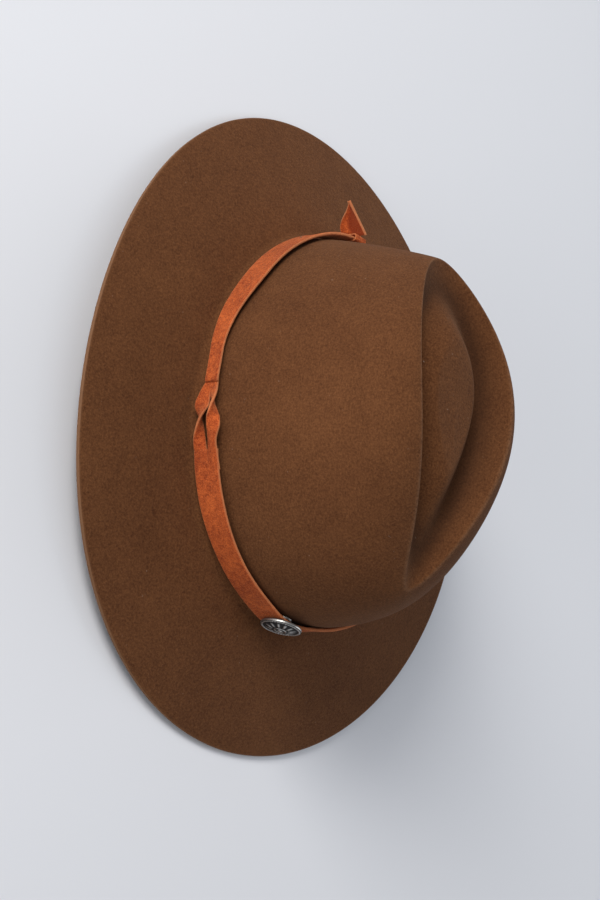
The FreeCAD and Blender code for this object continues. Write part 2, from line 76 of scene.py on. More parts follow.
class Wire:
    """A shader socket that does arithmetic by adding Math nodes.

    Args:
        graph: The material graph that the socket belongs to.
        socket: The output socket.
    """

    def __init__(self, graph: "Graph", socket: bpy.types.NodeSocket) -> None:
        """Keeps the graph and the socket."""
        self.graph, self.socket = graph, socket

    def _math(self, operation: str, first: object, second: object) -> "Wire":
        """Adds one Math node."""
        return self.graph.add("ShaderNodeMath", {"operation": operation}, {0: first, 1: second})

    def __add__(self, other: object) -> "Wire":
        """Adds."""
        return self._math("ADD", self, other)

    __radd__ = __add__

    def __sub__(self, other: object) -> "Wire":
        """Subtracts."""
        return self._math("SUBTRACT", self, other)

    def __rsub__(self, other: object) -> "Wire":
        """Subtracts from a number."""
        return self._math("SUBTRACT", other, self)

    def __mul__(self, other: object) -> "Wire":
        """Multiplies."""
        return self._math("MULTIPLY", self, other)

    __rmul__ = __mul__

    def ramp(self, low: float, high: float, to_low: float = 0.0, to_high: float = 1.0) -> "Wire":
        """Maps a range to another with clamping.

        Args:
            low: The value that becomes to_low.
            high: The value that becomes to_high.
            to_low: The result at low.
            to_high: The result at high.

        Returns:
            The mapped value.
        """
        limits = {0: self, 1: low, 2: high, 3: to_low, 4: to_high}
        return self.graph.add("ShaderNodeMapRange", {"clamp": True}, limits)


class Graph:
    """A material's node graph.

    Args:
        name: The material's name.
    """

    def __init__(self, name: str) -> None:
        """Makes the material with a Principled shader."""
        self.material = bpy.data.materials.new(name)
        self.material.use_nodes = True
        self.tree = self.material.node_tree
        self.shader = self.tree.nodes["Principled BSDF"]
        self._place: Wire | None = None

    def add(self, kind: str, settings: dict | None = None, inputs: dict | None = None,
            output: int = 0) -> Wire:
        """Adds a node.

        Args:
            kind: The node's type.
            settings: Properties set before the sockets.
            inputs: Values or wires by socket name or index.
            output: Which output to return.

        Returns:
            The chosen output as a wire.
        """
        node = self.tree.nodes.new(kind)
        for key, value in (settings or {}).items():
            setattr(node, key, value)
        for key, value in (inputs or {}).items():
            self.feed(node.inputs[key], value)
        return Wire(self, node.outputs[output])

    def feed(self, socket: bpy.types.NodeSocket, value: object) -> None:
        """Links a wire to a socket or sets its value."""
        if isinstance(value, Wire):
            self.tree.links.new(value.socket, socket)
        else:
            socket.default_value = value

    def place(self, stretch: tuple[float, float, float] = (1, 1, 1)) -> Wire:
        """Object coordinates, scaled along each axis."""
        if self._place is None:
            self._place = self.add("ShaderNodeTexCoord", output=3)
        if stretch == (1, 1, 1):
            return self._place
        return self.add("ShaderNodeMapping", {}, {"Vector": self._place, "Scale": stretch})

    def noise(self, scale: float, detail: float = 3.0, rough: float = 0.55,
              stretch: tuple = (1, 1, 1)) -> Wire:
        """Noise over the piece, with its scale in cells a metre."""
        return self.add("ShaderNodeTexNoise", {}, {
            "Vector": self.place(stretch), "Scale": scale, "Detail": detail, "Roughness": rough})

    def attribute(self, name: str) -> Wire:
        """A number stored on the mesh."""
        return self.add("ShaderNodeAttribute", {"attribute_name": name}, output=2)

    def mix(self, factor: object, first: object, second: object) -> Wire:
        """Blends two colours."""
        node = self.tree.nodes.new("ShaderNodeMix")
        node.data_type = "RGBA"
        for key, value in ((0, factor), (6, first), (7, second)):
            self.feed(node.inputs[key], value)
        return Wire(self, node.outputs[2])

    def bump(self, height: Wire, depth: float, strength: float) -> Wire:
        """A Bump node that reads a height in units of depth metres."""
        return self.add("ShaderNodeBump", {}, {"Height": height, "Distance": depth, "Strength": strength})

    def finish(self, **sockets: object) -> bpy.types.Material:
        """Feeds the Principled shader, with underscores for spaces in socket names."""
        for key, value in sockets.items():
            self.feed(self.shader.inputs[key.replace("_", " ")], value)
        return self.material


def rgb(red: float, green: float, blue: float) -> tuple[float, float, float, float]:
    """A linear colour with full alpha."""
    return (red, green, blue, 1.0)


# ---------------------------------------------------------------- finishes


@dataclass(frozen=True)
class FeltFinish:
    """Brushed wool felt: a short nap, soft blotches, lint, a paler cut edge, painted shade in the groove of
    the crease, and a pale ridge line that is partly wear and partly painted highlight.
    """

    dark: tuple = rgb(0.054, 0.0175, 0.0058)
    light: tuple = rgb(0.158, 0.062, 0.0225)
    edge: tuple = rgb(0.22, 0.115, 0.062)
    lint: tuple = rgb(0.34, 0.25, 0.19)
    shade: tuple = rgb(0.026, 0.0105, 0.0050)

    def material(self) -> bpy.types.Material:
        """Builds the material."""
        g = Graph("felt")
        broad = g.noise(13.0, 3.0, 0.6)
        patch = g.noise(75.0, 4.0, 0.65)
        nap = g.noise(950.0, 4.0, 0.7)
        fibre = g.noise(520.0, 5.0, 0.75, (1.0, 1.0, 3.4))
        tone = broad * 0.22 + patch * 0.16 + nap * 0.75 + fibre * 0.5 - 0.32
        colour = g.mix(tone.ramp(0.29, 0.71), self.dark, self.light)
        # Painted shade: the groove inside the crease is darkened toward the shade colour, where shade would
        # fall.
        colour = g.mix(g.attribute("groove") * 0.62, colour, self.shade)
        # Pale ridge line: partly wear of the felt, partly a painted highlight where the nap catches the
        # light.
        colour = g.mix(g.attribute("worn") * fibre.ramp(0.35, 0.6), colour, self.edge)
        colour = g.mix(g.attribute("cut").ramp(0.2, 1.0, 0.0, 0.6), colour, self.edge)
        specks = g.noise(430.0, 2.0, 0.5).ramp(0.735, 0.79) * g.noise(90.0, 1.0).ramp(0.45, 0.65)
        colour = g.mix(specks * 0.55, colour, self.lint)
        normal = g.bump(nap * 0.6 + fibre * 0.7 + patch * 0.5, 0.00055, 0.8)
        return g.finish(
            Base_Color=colour, Roughness=0.94, Normal=normal, Specular_IOR_Level=0.12,
            Sheen_Weight=0.10, Sheen_Roughness=0.5, Sheen_Tint=rgb(0.70, 0.42, 0.26))


@dataclass(frozen=True)
class SuedeFinish:
    """Napped suede: rust orange, mottled where the nap lies both ways, with pale cut edges and painted shade
    on the side of the tail's fold turned from the light.
    """

    deep: tuple = rgb(0.195, 0.0215, 0.0045)
    bright: tuple = rgb(0.60, 0.125, 0.026)
    edge: tuple = rgb(0.56, 0.21, 0.085)

    def material(self) -> bpy.types.Material:
        """Builds the material."""
        g = Graph("suede")
        mottle = g.noise(340.0, 4.0, 0.75)
        nap = g.noise(1500.0, 3.0, 0.75)
        tone = mottle * 0.7 + nap * 1.0 + g.noise(38.0, 2.0) * 0.4 - 0.55
        colour = g.mix(tone.ramp(0.30, 0.72), self.deep, self.bright)
        # Painted shade: the tail's facet turned away from the light is darkened toward the deep colour.
        colour = g.mix(g.attribute("fold") * 0.8, colour, self.deep)
        colour = g.mix(g.attribute("cut").ramp(0.3, 1.0, 0.0, 0.62), colour, self.edge)
        normal = g.bump(nap * 0.8 + mottle * 0.8, 0.0007, 0.9)
        return g.finish(
            Base_Color=colour, Roughness=0.9, Normal=normal, Specular_IOR_Level=0.2,
            Sheen_Weight=0.30, Sheen_Roughness=0.4, Sheen_Tint=rgb(0.95, 0.50, 0.25))


@dataclass(frozen=True)
class LeatherFinish:
    """The sweatband's smooth roan leather with a fine grain."""

    deep: tuple = rgb(0.085, 0.036, 0.016)
    bright: tuple = rgb(0.16, 0.074, 0.034)

    def material(self) -> bpy.types.Material:
        """Builds the material."""
        g = Graph("sweatband_leather")
        cells = g.add("ShaderNodeTexVoronoi", {"feature": "DISTANCE_TO_EDGE"},
                      {"Vector": g.place(), "Scale": 900.0})
        wear = g.noise(30.0, 3.0)
        colour = g.mix(wear.ramp(0.3, 0.7), self.deep, self.bright)
        normal = g.bump(cells.ramp(0.0, 0.12) + g.noise(300.0, 3.0) * 0.5, 0.00018, 0.7)
        return g.finish(Base_Color=colour, Roughness=wear.ramp(0.3, 0.7, 0.36, 0.52), Normal=normal)


@dataclass(frozen=True)
class ClothFinish:
    """A woven cloth: satin, cotton tape, grosgrain or thread."""

    name: str
    deep: tuple
    bright: tuple
    roughness: float
    stretch: tuple = (1.0, 1.0, 1.0)
    scale: float = 1200.0
    depth: float = 0.00015
    sheen: float = 0.2

    def material(self) -> bpy.types.Material:
        """Builds the material."""
        g = Graph(self.name)
        weave = g.noise(self.scale, 2.0, 0.6, self.stretch)
        colour = g.mix((weave * 0.7 + g.noise(45.0, 3.0) * 0.4).ramp(0.3, 0.8), self.deep, self.bright)
        return g.finish(
            Base_Color=colour, Roughness=self.roughness, Normal=g.bump(weave, self.depth, 0.7),
            Sheen_Weight=self.sheen, Sheen_Roughness=0.4)


@dataclass(frozen=True)
class SilverFinish:
    """Antique silver: bright worn high places, dark tarnish in the recesses."""

    worn: tuple = rgb(0.60, 0.585, 0.555)
    tarnish: tuple = rgb(0.028, 0.027, 0.027)

    def material(self) -> bpy.types.Material:
        """Builds the material."""
        g = Graph("silver")
        grain = g.noise(1100.0, 4.0, 0.7)
        high = (g.attribute("height") + (grain - 0.5) * 0.35).ramp(0.25, 0.85)
        colour = g.mix(high, self.tarnish, self.worn)
        return g.finish(
            Base_Color=colour, Metallic=high.ramp(0.0, 1.0, 0.75, 1.0),
            Roughness=high.ramp(0.0, 1.0, 0.58, 0.27), Normal=g.bump(grain, 0.00008, 0.6))


@dataclass(frozen=True)
class PlainFinish:
    """A moulded or machined surface with a little unevenness."""

    name: str
    colour: tuple
    metallic: float
    roughness: float
    scale: float = 600.0

    def material(self) -> bpy.types.Material:
        """Builds the material."""
        g = Graph(self.name)
        grain = g.noise(self.scale, 3.0)
        darker = tuple(0.8 * c for c in self.colour[:3]) + (1.0,)
        return g.finish(
            Base_Color=g.mix(grain.ramp(0.3, 0.7), darker, self.colour), Metallic=self.metallic,
            Roughness=grain.ramp(0.3, 0.7, self.roughness, self.roughness + 0.15),
            Normal=g.bump(grain, 0.00005, 0.5))


# ---------------------------------------------------------------- meshes


def mesh_object(name: str, points: np.ndarray, faces: list, material: bpy.types.Material,
                numbers: dict[str, np.ndarray] | None = None, smooth: bool = True) -> bpy.types.Object:
    """Makes a mesh object from points in millimetres.

    Args:
        name: The object's name.
        points: An array of points, one row each.
        faces: Tuples of point indices.
        material: The finish.
        numbers: Values stored on the points, by attribute name.
        smooth: Whether faces shade smoothly.

    Returns:
        The new object, linked to the scene.
    """
    mesh = bpy.data.meshes.new(name)
    mesh.from_pydata((np.asarray(points, float) * MM).tolist(), [], faces)
    for key, values in (numbers or {}).items():
        stored = mesh.attributes.new(key, "FLOAT", "POINT")
        stored.data.foreach_set("value", np.asarray(values, np.float32).ravel())
    mesh.polygons.foreach_set("use_smooth", [smooth] * len(mesh.polygons))
    mesh.materials.append(material)
    mesh.update()
    thing = bpy.data.objects.new(name, mesh)
    bpy.context.scene.collection.objects.link(thing)
    return thing


def grid_faces(rows: int, columns: int, wrap_rows: bool = False, wrap_columns: bool = False,
               start: int = 0, flip: bool = False) -> list:
    """The quads of a grid of points.

    Args:
        rows: Number of rows.
        columns: Points in a row.
        wrap_rows: Whether the last row joins the first.
        wrap_columns: Whether each row is a closed ring.
        start: Index of the first point.
        flip: Whether to turn the faces over.

    Returns:
        The faces.
    """
    faces = []
    for r in range(rows if wrap_rows else rows - 1):
        for c in range(columns if wrap_columns else columns - 1):
            r2, c2 = (r + 1) % rows, (c + 1) % columns
            quad = (r * columns + c, r * columns + c2, r2 * columns + c2, r2 * columns + c)
            quad = tuple(start + q for q in quad)
            faces.append(quad[::-1] if flip else quad)
    return faces


def closed_rings(rings: int, around: int) -> list:
    """The faces of stacked rings whose ends are closed by fans.

    Args:
        rings: Number of rings.
        around: Points in a ring.

    Returns:
        The faces. The two points that follow the rings are the middles of the first and the last one.
    """
    faces = grid_faces(rings, around, wrap_columns=True, flip=True)
    first, last, base = rings * around, rings * around + 1, (rings - 1) * around
    for c in range(around):
        n = (c + 1) % around
        faces += [(c, n, first), (base + n, base + c, last)]
    return faces


def rounded_outline(width: float, height: float, radius: float, corner_steps: int = 3,
                    side_steps: int = 4) -> tuple[np.ndarray, np.ndarray]:
    """A rounded rectangle about the origin, counter-clockwise.

    Args:
        width: Full size along the first axis.
        height: Full size along the second axis.
        radius: The corner radius.
        corner_steps: Segments in each corner.
        side_steps: Segments along each long side.

    Returns:
        The points, and for each one how near it is to the narrow sides (1 on them).
    """
    radius = min(radius, 0.49 * height, 0.49 * width)
    points, cut = [], []
    corners = ((1, -1, -90), (1, 1, 0), (-1, 1, 90), (-1, -1, 180))
    for index, (sx, sy, turn) in enumerate(corners):
        cx, cy = sx * (width / 2 - radius), sy * (height / 2 - radius)
        for k in range(corner_steps + 1):
            a = math.radians(turn + 90 * k / corner_steps)
            points.append((cx + radius * math.cos(a), cy + radius * math.sin(a)))
            cut.append(abs(math.cos(a)))
        if index in (1, 3):
            nx = corners[(index + 1) % 4][0] * (width / 2 - radius)
            for k in range(1, side_steps):
                points.append((cx + (nx - cx) * k / side_steps, sy * height / 2))
                cut.append(0.0)
    return np.array(points), np.array(cut)


def sweep(centres: np.ndarray, across: np.ndarray, outward: np.ndarray, widths: np.ndarray,
          thickness: float, cup: np.ndarray | float = 0.0,
          closed: bool = False) -> tuple[np.ndarray, list, np.ndarray]:
    """The points and faces of a strap swept along a path.

    Args:
        centres: Path points.
        across: Unit vectors along the strap's width.
        outward: Unit vectors through its thickness.
        widths: Its width at each path point.
        thickness: Its thickness.
        cup: How far the strap's edges curl outward.
        closed: Whether the path is a loop.

    Returns:
        Points, faces, and the cut-edge value of each point.
    """
    half, corner = 5.0, 0.42 * thickness
    outline, cut = rounded_outline(2 * half, thickness, corner, side_steps=8)
    flat = np.clip(outline[:, 0] / (half - corner), -1, 1)
    edge = outline[:, 0] - flat * (half - corner)
    rise = (outline[:, 0] / half) ** 2
    cups = np.broadcast_to(np.asarray(cup, float), (len(centres),))
    rows = []
    for centre, a, o, width, curl in zip(centres, across, outward, widths, cups):
        reach = flat * (width / 2 - corner) + edge
        rows.append(centre + np.outer(reach, a) + np.outer(outline[:, 1] + curl * rise, o))
    points = np.concatenate(rows)
    count = len(outline)
    faces = grid_faces(len(centres), count, wrap_rows=closed, wrap_columns=True)
    if not closed:
        faces += [tuple(range(count))[::-1], tuple((len(centres) - 1) * count + k for k in range(count))]
    return points, faces, np.tile(cut, len(centres))


def join(parts: list[tuple[np.ndarray, list, np.ndarray]]) -> tuple[np.ndarray, list, np.ndarray]:
    """Joins several swept parts into one set of points, faces and values."""
    points, faces, values, offset = [], [], [], 0
    for p, f, v in parts:
        points.append(p)
        values.append(v)
        faces += [tuple(i + offset for i in face) for face in f]
        offset += len(p)
    return np.concatenate(points), faces, np.concatenate(values)


def shell(name: str, rows: np.ndarray, thickness: float, finish: bpy.types.Material,
          fold: np.ndarray) -> bpy.types.Object:
    """A sheet of suede given a thickness, with closed edges.

    Args:
        name: The piece's name.
        rows: Its middle surface, as rows of points.
        thickness: Its thickness.
        finish: Its material.
        fold: How far each point is painted with shade, on the side of a fold turned from the light, from 0 to
            1.

    Returns:
        The piece.
    """
    normal = unit(np.cross(np.gradient(rows, axis=0), np.gradient(rows, axis=1)))
    count, columns = rows.shape[:2]
    border = [(0, c) for c in range(columns)] + [(r, columns - 1) for r in range(1, count)]
    border += [(count - 1, c) for c in range(columns - 2, -1, -1)] + [(r, 0) for r in range(count - 2, 0, -1)]
    top = (rows + normal * thickness / 2).reshape(-1, 3)
    under = (rows - normal * thickness / 2).reshape(-1, 3)
    faces = grid_faces(count, columns, flip=True) + grid_faces(count, columns, start=len(top))
    loop = [r * columns + c for r, c in border]
    for a, b in zip(loop, loop[1:] + loop[:1]):
        faces.append((a, b, b + len(top), a + len(top)))
    cut = np.zeros(2 * len(top))
    cut[loop] = 1.0
    cut[np.array(loop) + len(top)] = 1.0
    numbers = {"cut": cut, "fold": np.tile(fold.ravel(), 2)}
    return mesh_object(name, np.concatenate([top, under]), faces, finish, numbers)


def smooth_through(at: np.ndarray, places: np.ndarray, values: np.ndarray) -> np.ndarray:
    """A smooth line through values at given places, read at other places."""
    slopes = np.gradient(values, places)
    k = np.clip(np.searchsorted(places, at, side="right") - 1, 0, len(places) - 2)
    span = places[k + 1] - places[k]
    t = (at - places[k]) / span
    return ((2 * t**3 - 3 * t**2 + 1) * values[k] + (t**3 - 2 * t**2 + t) * span * slopes[k]
            + (3 * t**2 - 2 * t**3) * values[k + 1] + (t**3 - t**2) * span * slopes[k + 1])


def unit(vectors: np.ndarray) -> np.ndarray:
    """Vectors scaled to length 1."""
    return vectors / np.linalg.norm(vectors, axis=-1, keepdims=True)


def ease(value: np.ndarray | float) -> np.ndarray:
    """A smooth step from 0 to 1."""
    value = np.clip(value, 0.0, 1.0)
    return value * value * (3 - 2 * value)


def ride_piece(thing: bpy.types.Object, body: Body, slot: str, *nodes: str) -> bpy.types.Object:
    """Attaches a finished piece to its body and hides the nodes that it stands for."""
    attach(thing, body.value)
    if nodes:
        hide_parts(*nodes)
    LOG.info("%s: %d faces", thing.name, len(thing.data.polygons))
    return thing


# ---------------------------------------------------------------- the hat's form


@dataclass(frozen=True)
class HatForm:
    """The shape of the felt, in millimetres from the brim break; lift raises it to stand on its brim."""

    half_width: float = 88.0
    half_length: float = 106.0
    egg: float = 0.08
    brim_width: float = 70.0
    brim_drop: float = 17.0
    brim_roll: float = 6.5
    felt: float = 2.5
    break_height: float = 5.0
    break_reach: float = 6.0
    crown_height: float = 107.3
    apex: float = -3.8
    front_fall: float = 27.7
    back_fall: float = 26.7
    ridge_length: float = 88.6
    ridge_shape: tuple = (38.8, 14.1, -10.1, -6.2)
    shoulder_in: tuple = (0.488, 0.162, 0.765)
    shoulder_height: tuple = (0.946, 0.794, 0.859)
    crease_depth: float = 19.0
    dome_rise: float = 11.0
    draw: float = 0.988
    front_full: float = 1.035
    lift: float = 25.845

    def base(self, angle: np.ndarray, outward: np.ndarray | float = 0.0) -> np.ndarray:
        """Plan points of the crown's base oval, moved outward along its normal."""
        angle = np.asarray(angle, float)
        c, s = np.cos(angle), np.sin(angle)
        x, y = self.half_width * c * (1 - self.egg * s), self.half_length * s
        normal = self.normal(angle)
        return np.stack([x + outward * normal[..., 0], y + outward * normal[..., 1]], -1)

    def normal(self, angle: np.ndarray) -> np.ndarray:
        """Outward unit normals of the base oval, level."""
        c, s = np.cos(angle), np.sin(angle)
        dx = -self.half_width * (s * (1 - self.egg * s) + self.egg * c * c)
        dy = self.half_length * c
        return unit(np.stack([dy, -dx, np.zeros_like(dx)], -1))

    def ridge_height(self, y: np.ndarray) -> np.ndarray:
        """Height of the ridge along the hat."""
        fall = np.where(y < self.apex, self.front_fall, self.back_fall)
        reach = self.ridge_length + np.where(y < self.apex, self.apex, -self.apex)
        return self.crown_height - fall * ((y - self.apex) / reach) ** 2

    def ridge(self, angle: np.ndarray) -> np.ndarray:
        """Points of the teardrop ridge."""
        c, s = np.cos(angle), np.sin(angle)
        x = c * sum(k * s**n for n, k in enumerate(self.ridge_shape))
        y = self.ridge_length * s
        return np.stack([x, y, self.ridge_height(y)], -1)

    def by_end(self, angle: np.ndarray, values: tuple) -> np.ndarray:
        """A number that goes from its value at the sides to others at the front and the back."""
        s = np.sin(angle)[..., None]
        side, front, back = values
        return side + (front - side) * np.clip(-s, 0, 1) ** 2 + (back - side) * np.clip(s, 0, 1) ** 2

    def wall(self, angle: np.ndarray, rise: float) -> np.ndarray:
        """Points of the crown wall, from 0 at its foot to 1 at the ridge."""
        foot = np.concatenate([self.base(angle), np.full(angle.shape + (1,), self.break_height)], -1)
        top = self.ridge(angle)
        tall = (top[..., 2] - self.break_height)[..., None]
        up = np.array([0.0, 0.0, 1.0])
        move, lift = self.by_end(angle, self.shoulder_in), self.by_end(angle, self.shoulder_height)
        full = self.by_end(angle, (self.draw, self.front_full, self.draw))
        drawn = np.concatenate([np.full_like(full, self.draw), full, np.ones_like(full)], -1)
        low = foot * drawn + up * 0.25 * tall
        plan = (foot + move * (top - foot)) * np.array([1.0, 1.0, 0.0])
        high = plan + up * (self.break_height + lift * tall)
        k = 1 - rise
        return k**3 * foot + 3 * k * k * rise * low + 3 * k * rise * rise * high + rise**3 * top

    def crease(self, angle: np.ndarray, share: float) -> np.ndarray:
        """Points inside the crease, from 1 at the ridge to 0 in the middle."""
        edge = self.ridge(angle)
        middle, groove = 12.0, 0.72
        x, y = edge[..., 0] * share, middle + (edge[..., 1] - middle) * share
        if share > groove:
            sunk = 1 - ((share - groove) / (1 - groove)) ** 1.7
        else:
            near = share / groove
            plateau = 1 - float(ease((near - 0.52) / 0.44))
            sunk = 1 - self.dome_rise / self.crease_depth * (0.82 * plateau + 0.18 * (1 - near * near))
        tip = (edge[..., 1] / self.ridge_length) ** 2
        depth = self.crease_depth * (1 - 0.38 * tip * share)
        level = float(self.ridge_height(np.array(middle)))
        height = self.ridge_height(y) * share + level * (1 - share)
        return np.stack([x, y, height - depth * sunk], -1)

    def brim(self, angle: np.ndarray, share: float) -> np.ndarray:
        """Points of the brim's top, from 0 at the crown to 1 at the cut edge."""
        outward = share * self.brim_width
        plan = self.base(angle, outward)
        edge = -self.brim_drop + self.brim_roll * np.cos(2 * angle)
        turn = self.break_height * max(0.0, 1 - outward / self.break_reach) ** 3
        return np.stack([plan[..., 0], plan[..., 1], turn + edge * share**1.1], -1)

    def skin(self, angle: np.ndarray, station: float) -> np.ndarray:
        """The outer skin: 0 to 1 in the crease, to 2 down the wall, to 3 over the brim."""
        if station <= 1:
            return self.crease(angle, station)
        if station <= 2:
            return self.wall(angle, 2 - station)
        return self.brim(angle, station - 2)

    def inside(self, angle: np.ndarray, height: float, inset: float) -> np.ndarray:
        """Points on the crown wall at one height, moved in along its normal.

        Args:
            angle: Where round the crown.
            height: Height above the brim break.
            inset: Distance in from the outer face.

        Returns:
            The points.
        """
        level = np.full(np.shape(angle) + (1,), height)
        if height <= self.break_height:
            return np.concatenate([self.base(angle, -inset), level], -1)
        samples = np.linspace(0.0, 1.0, 61)
        rows = np.stack([self.wall(angle, r) for r in samples])
        along = -np.gradient(rows, axis=0)
        step = 0.01
        around = np.stack([self.wall(angle + step, r) - self.wall(angle - step, r) for r in samples])
        rows = rows - inset * unit(np.cross(along, around))
        found = []
        for i in range(len(angle)):
            z = rows[:, i, 2]
            found.append((np.interp(height, z, rows[:, i, 0]), np.interp(height, z, rows[:, i, 1])))
        return np.concatenate([np.array(found), level], -1)

    def lifted(self, points: np.ndarray) -> np.ndarray:
        """Points raised from the brim break to the row's frame."""
        return points + np.array([0.0, 0.0, self.lift])


def ring_angles(count: int) -> np.ndarray:
    """Evenly spaced angles round the crown, from the back."""
    return math.pi / 2 + TAU * np.arange(count) / count


# ---------------------------------------------------------------- the felt


@dataclass
class FeltBody:
    """The crown and brim, one pressed felt."""

    form: HatForm
    around: int = 320
    dimple_depth: float = 1.6
    dimple_radius: float = 20.0
    dimple_place: tuple = (74.0, 8.0, 62.0)
    edge_bulge: float = 0.55
    groove_shade_station: float = 0.79
    groove_shade_spread: float = 0.115
    worn_and_highlight_station: float = 1.004
    worn_and_highlight_spread: float = 0.012

    def stations(self) -> list[float]:
        """Where the rings of the outer skin lie, closer together at the ridge and the break."""
        crease = np.concatenate([np.linspace(0.03, 0.84, 34), np.linspace(0.85, 0.995, 20)])
        wall = np.concatenate([np.linspace(1.0, 1.2, 18), np.linspace(1.22, 2.0, 34)])
        brim = 2 + np.concatenate([np.linspace(0.6, 8.0, 14), np.linspace(9.5, self.form.brim_width, 34)]) / (
            self.form.brim_width)
        return list(crease) + list(wall) + list(brim)

    def outer(self, angles: np.ndarray, dimpled: bool) -> np.ndarray:
        """The outer skin's points, with its ridge softened and, if asked, its sides dimpled."""
        stations = self.stations()
        rows = np.stack([self.form.skin(angles, s) for s in stations])
        ridge = stations.index(1.0)
        soft = rows.copy()
        for _ in range(4):
            soft[1:-1] = 0.25 * soft[:-2] + 0.5 * soft[1:-1] + 0.25 * soft[2:]
        weight = np.exp(-(((np.arange(len(stations)) - ridge) / 3.0) ** 2))[:, None, None]
        rows = rows * (1 - weight) + soft * weight
        for side in Side if dimpled else ():
            centre = np.array(self.dimple_place) * np.array([side.value, 1.0, 1.0])
            away = np.linalg.norm(rows - centre, axis=-1)
            push = self.dimple_depth * np.exp(-((away / self.dimple_radius) ** 2))
            rows[..., 0] -= side.value * push
        return rows

    def build(self, finish: bpy.types.Material) -> bpy.types.Object:
        """Builds the felt as one closed mesh.

        Args:
            finish: The felt material.

        Returns:
            The piece.
        """
        angles = ring_angles(self.around)
        outer, plain = self.outer(angles, True), self.outer(angles, False)
        along = np.gradient(outer, axis=0)
        around = np.roll(outer, -1, axis=1) - np.roll(outer, 1, axis=1)
        normals = unit(np.cross(along, around))
        felt = self.form.felt
        last, normal = outer[-1], normals[-1]
        out = unit(along[-1])
        edge = []
        for k in range(1, 8):
            a = math.pi * k / 8
            lean = abs(math.cos(a)) ** 0.45 * math.copysign(1, math.cos(a))
            edge.append(last - normal * felt / 2 * (1 - lean) + out * self.edge_bulge * math.sin(a) ** 0.6)
        pick = [i for i in range(len(outer)) if i % 3 == 0 or i > len(outer) - 3]
        inner = (plain - normals * felt)[pick][::-1]
        rows = np.concatenate([outer, np.stack(edge), inner])
        cut = np.zeros(rows.shape[:2])
        cut[len(outer):len(outer) + len(edge)] = 1.0
        cut[len(outer) - 1] = cut[len(outer) + len(edge)] = 0.4
        stations = np.array(self.stations())
        groove, worn = np.zeros(rows.shape[:2]), np.zeros(rows.shape[:2])
        # Painted shade: how deep each ring lies in the crease's shaded groove, stored as groove.
        band = np.exp(-(((stations - self.groove_shade_station) / self.groove_shade_spread) ** 2)) * (stations < 1)
        groove[:len(outer)] = band[:, None]
        # The pale ridge line, partly wear and partly painted highlight, stored as worn.
        wear_and_highlight = 0.5 * np.exp(-(((stations - self.worn_and_highlight_station) / self.worn_and_highlight_spread) ** 2))
        worn[:len(outer)] = wear_and_highlight[:, None]
        points = self.form.lifted(rows.reshape(-1, 3))
        faces = closed_rings(len(rows), self.around)
        middles = [points[:self.around].mean(0), points[-self.around:].mean(0)]
        points = np.concatenate([points, middles])
        cut, groove, worn = (np.append(values.ravel(), [0.0, 0.0]) for values in (cut, groove, worn))
        numbers = {"cut": cut, "groove": groove, "worn": worn}
        return mesh_object("felt_hat_body", points, faces, finish, numbers)


